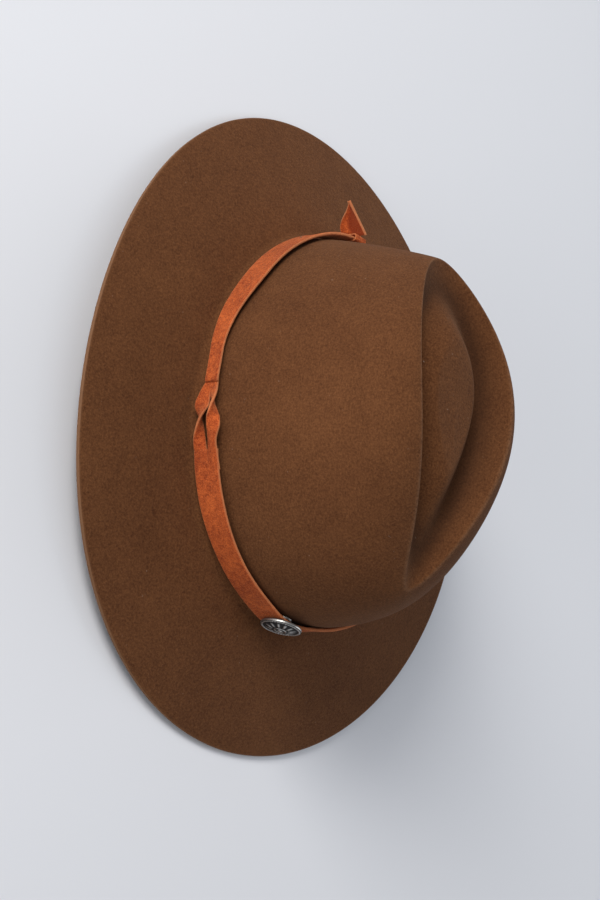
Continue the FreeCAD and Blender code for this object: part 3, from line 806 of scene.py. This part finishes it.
@dataclass
class SuedeBand:
    """The suede straps round the crown, with a looped slit on each side, a keeper and a loose end."""

    form: HatForm
    suede: float = 1.8
    stand_off: float = 1.8
    middle: float = 11.2
    full: float = 16.0
    neck: float = 8.6
    held: float = 13.5
    keeper_angle: float = 87.0
    keeper_length: float = 9.0
    keeper_wall: float = 0.9
    concho_angle: float = CONCHO_ANGLE
    concho_lift: float = 2.0
    tail_length: float = 21.0
    tail_turn: float = 112.0
    split: float = 198.0
    # A row of a strand: degrees round, height, width, gap behind it, and degrees turned about its line.
    lower_strand: tuple = (
        (173, 8.4, 4.0, 0.6, 0), (178, 8.9, 4.7, 1.5, -4), (182, 8.2, 6.6, 2.9, -12),
        (186, 8.8, 9.2, 4.6, 6), (188.6, 8.4, 7.0, 4.2, 48), (191.2, 7.4, 6.0, 3.3, 88),
        (194.2, 6.6, 6.4, 2.5, 134), (198, 7.0, 8.0, 2.0, 178), (203, 7.2, 8.0, 1.8, 180))
    upper_strand: tuple = (
        (173, 10.6, 3.0, 0.5, 0), (178, 12.6, 4.2, 1.5, 0), (182, 14.2, 6.0, 2.9, 22),
        (185, 15.6, 6.4, 3.8, 62), (187, 16.5, 6.4, 4.2, 96), (189, 17.0, 7.0, 4.4, 140),
        (191.5, 17.3, 7.6, 4.4, 172), (195, 16.4, 5.6, 3.9, 182), (198, 15.9, 6.4, 2.9, 180),
        (203, 15.2, 8.0, 1.8, 180))

    def near(self, degrees: np.ndarray, centre: float, reach: float) -> np.ndarray:
        """A bell that is 1 at the centre angle."""
        return np.exp(-(((degrees - centre) / reach) ** 2))

    def strap(self, degrees: np.ndarray, heights: np.ndarray, widths: np.ndarray, offsets: np.ndarray,
              rolls: np.ndarray, cup: float = 0.25, thickness: float | None = None) -> tuple:
        """A strap laid round the crown.

        Args:
            degrees: Angles along it.
            heights: Heights of its centre line above the brim break.
            widths: Its widths.
            offsets: Gaps between the crown's base oval and its inner face.
            rolls: How far it is turned about its own line, in degrees.
            cup: How far its edges curl outward.
            thickness: Its thickness, or None for the suede's own.

        Returns:
            Points, faces and cut-edge values.
        """
        thick = self.suede if thickness is None else thickness
        angles, turn = np.radians(degrees), np.radians(rolls)[:, None]
        normal = self.form.normal(angles)
        up = np.array([0.0, 0.0, 1.0])
        plan = self.form.base(angles, offsets + thick / 2)
        centres = self.form.lifted(np.concatenate([plan, heights[:, None]], -1))
        across = np.cos(turn) * up + np.sin(turn) * normal
        outward = np.cos(turn) * normal - np.sin(turn) * up
        return sweep(centres, across, outward, widths, thick, cup)

    def strand(self, table: tuple) -> tuple:
        """One of the two strands beside a slit, through the places in its table."""
        rows = np.array(table, float)
        degrees = np.linspace(rows[0, 0], rows[-1, 0], 90)
        columns = [smooth_through(degrees, rows[:, 0], rows[:, k]) for k in range(1, 5)]
        return self.strap(degrees, *columns, cup=0.15, thickness=self.suede * 0.92)

    def front(self, finish: bpy.types.Material) -> bpy.types.Object:
        """The front strap with both its slits."""
        degrees = np.arange(self.split - 0.8, 540 - self.split + 0.9, 0.8)
        offsets = self.stand_off + self.concho_lift * self.near(degrees, self.concho_angle, 9.0)
        offsets = offsets - 1.5 * self.near(degrees, 298, 22)
        sway = 0.35 * np.sin(np.radians(degrees) * 5.0)
        widths = np.full(len(degrees), self.full) + 0.35 * np.sin(np.radians(degrees) * 9.0)
        main = self.strap(degrees, self.middle + sway, widths, offsets, np.zeros(len(degrees)))
        strands = [self.strand(self.lower_strand), self.strand(self.upper_strand)]
        mirrored = [(p * np.array([-1.0, 1.0, 1.0]), [f[::-1] for f in faces], v) for p, faces, v in strands]
        points, faces, cut = join([main] + strands + mirrored)
        return mesh_object("front_suede_strap", points, faces, finish, {"cut": cut})

    def rear(self, finish: bpy.types.Material) -> bpy.types.Object:
        """The rear strap, gathered to a neck at each slit and a little under the keeper."""
        degrees = np.arange(1.5, 178.6, 0.75)
        away = np.abs(degrees - 90.0)
        hold = self.near(degrees, self.keeper_angle, 9.0)
        widths = self.full - (self.full - self.held) * hold - (self.full - self.neck) * ease((away - 50) / 32)
        dip = 3.2 * (ease((away - 50) / 20) - ease((away - 73) / 16))
        heights = self.middle - dip + 0.6 * hold
        offsets = self.stand_off + 0.7 * ease((away - 80) / 8) - 1.6 * self.near(degrees, 112, 24)
        points, faces, cut = self.strap(degrees, heights, widths, offsets, np.zeros(len(degrees)), cup=0.3)
        return mesh_object("rear_suede_strap", points, faces, finish, {"cut": cut})

    def keeper(self, finish: bpy.types.Material) -> bpy.types.Object:
        """The small suede loop that holds the strap's end."""
        angle = np.array([math.radians(self.keeper_angle)])
        normal = self.form.normal(angle)[0]
        tangent = np.array([-normal[1], normal[0], 0.0])
        up = np.array([0.0, 0.0, 1.0])
        tall, deep = self.held + 0.7, self.suede + 0.9
        middle = self.stand_off - 0.45 + deep / 2
        outline, _ = rounded_outline(tall + self.keeper_wall, deep + self.keeper_wall, 1.3, 5, 6)
        origin = np.append(self.form.base(angle, middle)[0], self.middle + 0.6)
        centres = self.form.lifted(origin + np.outer(outline[:, 0], up) + np.outer(outline[:, 1], normal))
        along = unit(np.roll(centres, -1, 0) - np.roll(centres, 1, 0))
        across = np.tile(tangent, (len(centres), 1))
        widths = np.full(len(centres), self.keeper_length)
        outward = np.cross(along, across)
        points, faces, cut = sweep(centres, across, outward, widths, self.keeper_wall, closed=True)
        return mesh_object("keeper_loop", points, faces, finish, {"cut": cut})

    def tail(self, finish: bpy.types.Material) -> bpy.types.Object:
        """The loose pointed strap end, folded along its length."""
        angle = np.array([math.radians(self.keeper_angle)])
        root = self.form.base(angle, self.stand_off + self.suede + self.keeper_wall + 1.6)[0]
        root = self.form.lifted(np.append(root, self.middle + 3.0))
        turn = math.radians(self.tail_turn)
        along = np.array([math.cos(turn), math.sin(turn), 0.0])
        aside = np.array([-along[1], along[0], 0.0])
        up = np.array([0.0, 0.0, 1.0])
        rows = []
        for s in np.linspace(0.0, 1.0, 26):
            high = 8.4 - 7.8 * s
            low = -7.6 - 1.6 * math.sin(math.pi * min(s / 0.7, 1.0)) + 7.4 * float(ease((s - 0.25) / 0.75))
            row = []
            for v in np.linspace(0.0, 1.0, 17):
                height = low + (high - low) * v
                fold = 4.2 * math.sin(math.pi * min(s * 1.1, 1.0)) * max(0.0, 0.42 - v) ** 1.2
                curl = 1.1 * s * s - 0.8 * math.sin(math.pi * v) * (0.3 + 0.7 * s)
                forward = along * (0.95 * s - 0.05) * self.tail_length
                row.append(root + forward + up * height * (1 - 0.10 * fold) + aside * (fold + curl))
            rows.append(row)
        # Painted shade: the facet above the fold, which faces away from the light, is marked to be darkened.
        shaded = np.tile(ease((np.linspace(0.0, 1.0, 17) - 0.34) / 0.14), (len(rows), 1))
        return shell("strap_tail", np.array(rows), self.suede * 0.85, finish, shaded)

    def build(self, finish: bpy.types.Material) -> None:
        """Builds every suede piece."""
        ride_piece(self.front(finish), Body.HAT, "suede", "band_front_strap")
        ride_piece(self.rear(finish), Body.HAT, "suede", "band_rear_strap")
        ride_piece(self.keeper(finish), Body.HAT, "suede", "band_keeper")
        ride_piece(self.tail(finish), Body.TAIL, "suede", "band_tail")


@dataclass
class Concho:
    """The silver concho: a rope-edged disc with a sunburst, on a hollow post."""

    form: HatForm
    radius: float = 11.0
    rim: float = 1.4
    rise: float = 1.6
    rays: int = 12
    angle: float = CONCHO_ANGLE
    outward: float = 6.1
    height: float = 13.5
    post_radius: float = 2.0
    post_length: float = 2.6

    def relief(self, r: np.ndarray, turn: np.ndarray) -> tuple[np.ndarray, np.ndarray]:
        """The face's height, and how high it stands over its own recesses from 0 to 1."""
        field = 0.83 * self.radius
        dome = self.rise * np.clip(1 - (r / field) ** 2, 0, 1)
        rope = np.exp(-(((r - 0.925 * self.radius) / 0.62) ** 2))
        twist = 0.5 + 0.5 * np.cos(44 * turn + 2.2 * r)
        bead = rope * (0.62 + 0.38 * twist)
        wave = 0.5 + 0.5 * np.cos(self.rays * turn)
        inner = 3.3
        swell = np.clip(np.sin(np.pi * (r - inner) / (field - inner)), 0, 1)
        petal = wave ** 1.5 * swell * (r > inner) * (r < field)
        ring = np.exp(-(((r - 3.0) / 0.45) ** 2))
        boss = np.exp(-((r / 1.5) ** 4))
        lift = 0.62 * bead + 0.5 * petal + 0.42 * ring + 0.6 * boss
        return self.rim + dome + lift, np.clip(bead + petal * 0.85 + ring + boss, 0, 1)

    def build(self, finish: bpy.types.Material) -> None:
        """Builds the disc with its post and dresses it."""
        count, rings = 176, 46
        turn = TAU * np.arange(count) / count
        radii = np.concatenate([np.linspace(0.25, 0.97 * self.radius, rings), [0.992 * self.radius]])
        r, a = np.meshgrid(radii, turn, indexing="ij")
        z, high = self.relief(r, a)
        z[-1] = self.rim + 0.12
        post, bore, low = self.post_radius, self.post_radius - 0.5, -self.post_length
        profile = [(self.radius, self.rim - 0.25), (self.radius, 0.3), (0.97 * self.radius, 0.0),
                   (post + 0.3, 0.0), (post, -0.25), (post, low), (bore, low), (bore, 0.4)]
        rows = [np.stack([r * np.cos(a), r * np.sin(a), z], -1).reshape(-1, 3)]
        for radius, level in profile:
            rows.append(np.stack([radius * np.cos(turn), radius * np.sin(turn), np.full(count, level)], -1))
        local = np.concatenate(rows + [np.array([[0, 0, z[0].mean()], [0, 0, 0.4]])])
        shine = [0.8, 0.5] + [0.3] * (len(profile) - 2)
        value = np.concatenate([high.ravel(), np.repeat(shine, count), [1.0, 0.3]])
        faces = closed_rings(len(radii) + len(profile), count)
        where = np.array([math.radians(self.angle)])
        normal = self.form.normal(where)[0]
        tangent = np.array([-normal[1], normal[0], 0.0])
        origin = self.form.lifted(np.append(self.form.base(where, self.outward)[0], self.height))
        points = origin + local @ np.stack([tangent, np.array([0.0, 0.0, 1.0]), normal])
        thing = mesh_object("silver_concho", points, faces, finish, {"height": value})
        ride_piece(thing, Body.CONCHO, "silver", "concho_disc")


@dataclass
class Inside:
    """The sweatband, the lining and their trim."""

    form: HatForm
    around: int = 240
    gap: float = 0.4
    lining: float = 0.5
    leather: float = 1.1
    band_foot: float = 2.4
    band_top: float = 44.0
    lining_foot: float = 14.0
    lining_top: float = 66.0
    stitch_height: float = 5.0
    stitches: int = 84
    bow_width: float = 26.0

    @property
    def lining_inset(self) -> float:
        """Depth of the lining's outer face below the felt's outer face."""
        return self.form.felt + self.gap

    @property
    def band_inset(self) -> float:
        """Depth of the sweatband's outer face."""
        return self.lining_inset + self.lining + self.gap

    def ring(self, rows: list[tuple[float, float]], waves: list[np.ndarray] | None = None,
             flip: bool = True) -> tuple:
        """A closed ring inside the crown.

        Args:
            rows: The (height, inset) corners of its cross-section, in order.
            waves: How far each corner moves in, at each angle round the crown.
            flip: Whether to turn the faces over, as the order of the corners needs.

        Returns:
            Points and faces.
        """
        angles = ring_angles(self.around)
        points = []
        for index, (height, inset) in enumerate(rows):
            row = self.form.inside(angles, height, inset)
            if waves is not None:
                row = row - self.form.normal(angles) * waves[index][:, None]
            points.append(row)
        stacked = self.form.lifted(np.stack(points))
        faces = grid_faces(len(rows), self.around, wrap_rows=True, wrap_columns=True, flip=flip)
        return stacked.reshape(-1, 3), faces

    def sweatband(self, finish: bpy.types.Material) -> bpy.types.Object:
        """The leather band, with a rounded top edge and a slight wave."""
        outer, inner = self.band_inset, self.band_inset + self.leather
        levels = list(np.linspace(self.band_foot, self.band_top - 0.5, 12))
        rows = [(z, inner) for z in levels]
        shoulder, turn = self.band_top - 0.1, 0.25
        rows += [(shoulder, inner - turn), (self.band_top, (inner + outer) / 2), (shoulder, outer + turn)]
        rows += [(z, outer) for z in levels[::-1]]
        angles = ring_angles(self.around)
        sway = 0.35 * np.sin(7 * angles + 0.6) + 0.2 * np.sin(17 * angles)
        waves = [np.clip((z - 20) / 24, 0, 1) * (sway + 0.55) for z, _ in rows]
        points, faces = self.ring(rows, waves)
        return mesh_object("leather_sweatband", points, faces, finish)

    def side_lining(self, finish: bpy.types.Material) -> bpy.types.Object:
        """The satin side panel with fine upright gathers."""
        levels = list(np.linspace(self.lining_foot, self.lining_top - 2.0, 16))
        rows = [(z, self.lining_inset + self.lining) for z in levels]
        rows += [(z, self.lining_inset) for z in levels[::-1]]
        angles = ring_angles(self.around)
        fold = 0.5 + 0.5 * np.sin(60 * angles + 2.0 * np.sin(5 * angles))
        tall = self.lining_top - self.lining_foot
        waves = [fold * (0.45 + 0.75 * ((z - self.lining_foot) / tall)) for z, _ in rows]
        points, faces = self.ring(rows, waves)
        return mesh_object("satin_side_lining", points, faces, finish)

    def tip_lining(self, finish: bpy.types.Material) -> bpy.types.Object:
        """The satin oval over the head, with gathers toward its seam and a soft sag."""
        angles = ring_angles(self.around)
        rim = self.form.inside(angles, self.lining_top, self.lining_inset + self.lining + 1.0)
        centre = rim.mean(0)
        rows, under = [], []
        for share in np.linspace(0.02, 1.0, 30):
            row = centre + (rim - centre) * share
            pucker = 0.5 * np.sin(60 * angles) * max(0.0, share - 0.6) ** 1.5 * 4
            row[:, 2] = self.lining_top + 1.0 - 1.6 * math.cos(share * math.pi / 2) + pucker * 0.4
            rows.append(row)
            under.append(row - np.array([0, 0, self.lining]))
        stacked = self.form.lifted(np.stack(rows + under[::-1]))
        points = stacked.reshape(-1, 3)
        points = np.concatenate([points, [stacked[0].mean(0), stacked[-1].mean(0)]])
        return mesh_object("satin_tip_lining", points, closed_rings(len(stacked), self.around), finish)

    def piping(self, finish: bpy.types.Material) -> bpy.types.Object:
        """The corded seam round the top of the lining."""
        turns = TAU * np.arange(10) / 10
        height, radius = self.lining_top - 1.05, 0.9
        inset = self.lining_inset + 1.15
        rows = [(height + radius * math.sin(t), inset - radius * math.cos(t)) for t in turns]
        points, faces = self.ring(rows, flip=False)
        return mesh_object("lining_piping_cord", points, faces, finish)

    def stitch_row(self, finish: bpy.types.Material) -> bpy.types.Object:
        """The stitches that sew the sweatband to its tape, set out along the seam by a node tree."""
        angles = ring_angles(self.stitches)
        inset = self.band_inset + self.leather
        seam = self.form.lifted(self.form.inside(angles, self.stitch_height, inset)) * MM
        curve = bpy.data.curves.new("seam_path", "CURVE")
        curve.dimensions = "3D"
        spline = curve.splines.new("POLY")
        spline.points.add(len(seam) - 1)
        spline.points.foreach_set("co", np.concatenate([seam, np.ones((len(seam), 1))], 1).ravel())
        spline.use_cyclic_u = True
        path = bpy.data.objects.new("seam_path", curve)
        bpy.context.scene.collection.objects.link(path)
        tree = StitchTree("stitch_row").build(finish)
        modifier = path.modifiers.new("stitches", "NODES")
        modifier.node_group = tree
        sizes = {"Count": self.stitches, "Length": 0.0042, "Thickness": 0.0003}
        for item in tree.interface.items_tree:
            if item.item_type == "SOCKET" and item.in_out == "INPUT" and item.name in sizes:
                modifier[item.identifier] = sizes[item.name]
        bpy.context.view_layer.update()
        evaluated = path.evaluated_get(bpy.context.evaluated_depsgraph_get())
        mesh = bpy.data.meshes.new_from_object(evaluated)
        mesh.name = "sweatband_thread"
        thing = bpy.data.objects.new("sweatband_thread", mesh)
        bpy.context.scene.collection.objects.link(thing)
        bpy.data.objects.remove(path)
        return thing

    def bow(self, finish: bpy.types.Material) -> bpy.types.Object:
        """The small ribbon bow: two loops, two tails and a knot."""
        back = self.form.inside(np.array([math.pi / 2]), 11.0, self.band_inset + self.leather)[0]
        origin = self.form.lifted(np.array([0.0, back[1] - 1.6, 11.5]))
        thick, parts = 0.35, []
        for side in Side:
            s = side.value
            turns = np.linspace(0.0, TAU, 25)
            reach = 0.5 * self.bow_width * 0.5 * (1 - np.cos(turns))
            line = np.stack([s * reach, -0.75 - 0.75 * np.sin(turns), 0.3 * np.sin(turns / 2)], -1)
            widths = 3.0 + 6.0 * (reach / (0.5 * self.bow_width)) ** 0.8
            parts.append(self.ribbon(origin + line, widths, thick))
            drop = np.linspace(0.0, 1.0, 9)
            line = np.stack([s * 4.6 * drop, -0.5 - 0.5 * drop, -9.5 * drop], -1)
            parts.append(self.ribbon(origin + line, np.full(9, 4.2), thick, flat=True))
        turns = np.linspace(0, TAU, 13)[:-1]
        knot = np.stack([np.zeros(12), -0.75 - 1.3 * np.cos(turns), 2.4 * np.sin(turns)], -1)
        along = unit(np.roll(knot, -1, 0) - np.roll(knot, 1, 0))
        across = np.tile([1.0, 0.0, 0.0], (12, 1))
        outward = np.cross(along, across)
        parts.append(sweep(origin + knot, across, outward, np.full(12, 3.6), thick, closed=True))
        points, faces, _ = join(parts)
        return mesh_object("ribbon_bow", points, faces, finish)

    def ribbon(self, line: np.ndarray, widths: np.ndarray, thick: float, flat: bool = False) -> tuple:
        """A ribbon along a line, on edge like the band or, when flat, hanging down it."""
        along = unit(np.gradient(line, axis=0))
        across = np.tile([1.0, 0.0, 0.0] if flat else [0.0, 0.0, 1.0], (len(line), 1))
        across = unit(across - along * np.sum(across * along, -1, keepdims=True))
        return sweep(line, across, np.cross(along, across), widths, thick)

    def build(self, finishes: dict[str, bpy.types.Material]) -> None:
        """Builds the inside and dresses it."""
        pieces = (
            (self.sweatband, "sweatband_leather", "sweatband_leather"),
            (self.side_lining, "satin", "lining_side"),
            (self.tip_lining, "satin", "lining_tip"),
            (self.piping, "piping", "lining_piping"),
            (self.stitch_row, "thread", "sweatband_stitches"),
            (self.bow, "ribbon", "sweatband_bow"),
        )
        for make, slot, node in pieces:
            ride_piece(make(finishes[slot]), Body.HAT, slot, node)


@dataclass
class StitchTree:
    """A node tree that lays one rounded stitch at each point along a path."""

    name: str

    def build(self, finish: bpy.types.Material) -> bpy.types.NodeTree:
        """Builds the tree.

        Args:
            finish: The thread material.

        Returns:
            The tree, with inputs Count, Length and Thickness.
        """
        tree = bpy.data.node_groups.new(self.name, "GeometryNodeTree")
        face = tree.interface
        face.new_socket("Geometry", in_out="INPUT", socket_type="NodeSocketGeometry")
        face.new_socket("Count", in_out="INPUT", socket_type="NodeSocketInt")
        face.new_socket("Length", in_out="INPUT", socket_type="NodeSocketFloat")
        face.new_socket("Thickness", in_out="INPUT", socket_type="NodeSocketFloat")
        face.new_socket("Geometry", in_out="OUTPUT", socket_type="NodeSocketGeometry")
        new, link = tree.nodes.new, tree.links.new
        given, out = new("NodeGroupInput"), new("NodeGroupOutput")
        spread = new("GeometryNodeResampleCurve")
        link(given.outputs["Geometry"], spread.inputs["Curve"])
        link(given.outputs["Count"], spread.inputs["Count"])
        tangent = new("GeometryNodeInputTangent")
        turn = new("FunctionNodeAlignRotationToVector")
        turn.axis = "Z"
        link(tangent.outputs[0], turn.inputs["Vector"])
        thread = new("GeometryNodeMeshUVSphere")
        thread.inputs["Segments"].default_value = 8
        thread.inputs["Rings"].default_value = 8
        thread.inputs["Radius"].default_value = 1.0
        size = new("ShaderNodeCombineXYZ")
        half = new("ShaderNodeMath")
        half.operation = "MULTIPLY"
        half.inputs[1].default_value = 0.5
        link(given.outputs["Length"], half.inputs[0])
        link(given.outputs["Thickness"], size.inputs[0])
        link(given.outputs["Thickness"], size.inputs[1])
        link(half.outputs[0], size.inputs[2])
        place = new("GeometryNodeInstanceOnPoints")
        link(spread.outputs["Curve"], place.inputs["Points"])
        link(thread.outputs["Mesh"], place.inputs["Instance"])
        link(turn.outputs[0], place.inputs["Rotation"])
        link(size.outputs[0], place.inputs["Scale"])
        real = new("GeometryNodeRealizeInstances")
        link(place.outputs[0], real.inputs[0])
        dress = new("GeometryNodeSetMaterial")
        dress.inputs["Material"].default_value = finish
        link(real.outputs[0], dress.inputs["Geometry"])
        smooth = new("GeometryNodeSetShadeSmooth")
        link(dress.outputs[0], smooth.inputs[0])
        link(smooth.outputs[0], out.inputs["Geometry"])
        return tree


@dataclass
class Stage:
    """The floor, the lights and the camera."""

    lens: float = 85.0
    camera_place: tuple = (-0.85524, -0.25269, 0.76128)
    rows: tuple = ((0.63203, 0.10896, 0.76724), (-0.23045, 0.97170, 0.05185), (-0.73988, -0.20958, 0.63926))
    floor_colour: tuple = rgb(0.755, 0.765, 0.80)
    floor_patch: tuple = rgb(0.725, 0.735, 0.775)
    floor_reach: float = 6000.0
    floor_drop: float = 0.15
    sky_colour: tuple = rgb(0.90, 0.94, 1.0)
    sky_strength: float = 0.34

    def camera(self) -> None:
        """Places the camera."""
        data = bpy.data.cameras.new("camera")
        data.lens = self.lens
        thing = bpy.data.objects.new("camera", data)
        turn = Matrix(self.rows).transposed().to_4x4()
        thing.matrix_world = Matrix.Translation(self.camera_place) @ turn
        bpy.context.scene.collection.objects.link(thing)
        bpy.context.scene.camera = thing

    def floor(self) -> None:
        """Lays a wide pale floor."""
        g = Graph("floor")
        tone = g.noise(1.2, 2.0).ramp(0.3, 0.7, 0.0, 0.4)
        colour = g.mix(tone, self.floor_colour, self.floor_patch)
        g.finish(Base_Color=colour, Roughness=0.9, Specular_IOR_Level=0.1)
        size, low = self.floor_reach, -self.floor_drop
        corners = np.array([(-size, -size, low), (size, -size, low), (size, size, low), (-size, size, low)])
        mesh_object("floor", corners, [(0, 1, 2, 3)], g.material, smooth=False)

    def light(self, name: str, place: tuple, power: float, size: float, colour: tuple = (1, 1, 1)) -> None:
        """Adds a square area light aimed at the hat."""
        data = bpy.data.lights.new(name, "AREA")
        data.energy, data.size, data.color = power, size, colour
        thing = bpy.data.objects.new(name, data)
        aim = (Vector((0, 0, 0.05)) - Vector(place)).to_track_quat("-Z", "Y")
        thing.matrix_world = Matrix.Translation(place) @ aim.to_matrix().to_4x4()
        bpy.context.scene.collection.objects.link(thing)

    def build(self) -> None:
        """Builds the stage."""
        self.camera()
        self.floor()
        world = bpy.context.scene.world or bpy.data.worlds.new("world")
        bpy.context.scene.world = world
        world.use_nodes = True
        sky = world.node_tree.nodes["Background"].inputs
        sky["Color"].default_value = self.sky_colour
        sky["Strength"].default_value = self.sky_strength
        self.light("key", (-1.6, 1.15, 1.2), 47.0, 1.0, (1.0, 0.98, 0.95))
        self.light("fill", (2.1, 0.3, 1.3), 17.0, 1.6, (0.93, 0.96, 1.0))
        self.light("side", (-2.0, -0.6, 0.6), 13.0, 1.2, (1.0, 0.98, 0.96))
        view = bpy.context.scene.view_settings
        view.view_transform, view.look = "Standard", "None"


def slot_finishes() -> dict[str, bpy.types.Material]:
    """The material of every slot, by the slot's name."""
    others = (
        ClothFinish("satin", rgb(0.10, 0.055, 0.028), rgb(0.22, 0.13, 0.07), 0.34,
                    stretch=(1, 1, 0.2), scale=1600, depth=0.00006),
        ClothFinish("piping", rgb(0.022, 0.013, 0.009), rgb(0.05, 0.03, 0.02), 0.4),
        ClothFinish("thread", rgb(0.13, 0.07, 0.035), rgb(0.26, 0.15, 0.08), 0.6, scale=3000),
        ClothFinish("ribbon", rgb(0.010, 0.007, 0.006), rgb(0.035, 0.022, 0.016), 0.5,
                    stretch=(1, 1, 12), scale=1800),
        ClothFinish("tape", rgb(0.018, 0.012, 0.009), rgb(0.05, 0.035, 0.025), 0.85),
        PlainFinish("reed_plastic", rgb(0.30, 0.22, 0.14), 0.0, 0.35),
        PlainFinish("screw_metal", rgb(0.55, 0.54, 0.51), 1.0, 0.3),
    )
    return {
        "felt": FeltFinish().material(),
        "suede": SuedeFinish().material(),
        "sweatband_leather": LeatherFinish().material(),
        "silver": SilverFinish().material(),
        **{finish.name: finish.material() for finish in others},
    }


def main() -> None:
    """Builds the stage and every piece."""
    logging.basicConfig(level=logging.INFO, format="%(name)s %(message)s")
    form = HatForm()
    Stage().build()
    finishes = slot_finishes()
    ride_piece(FeltBody(form).build(finishes["felt"]), Body.HAT, "felt", "felt_body")
    SuedeBand(form).build(finishes["suede"])
    Concho(form).build(finishes["silver"])
    Inside(form).build(finishes)
    for part in frame["record"]["subparts"]:
        thing = bpy.data.objects.get(part["node"])
        if thing is not None and thing.material_slots:
            thing.material_slots[0].material = finishes[part["material_slot"]]
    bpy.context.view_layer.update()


if __name__ == "__main__":
    main()
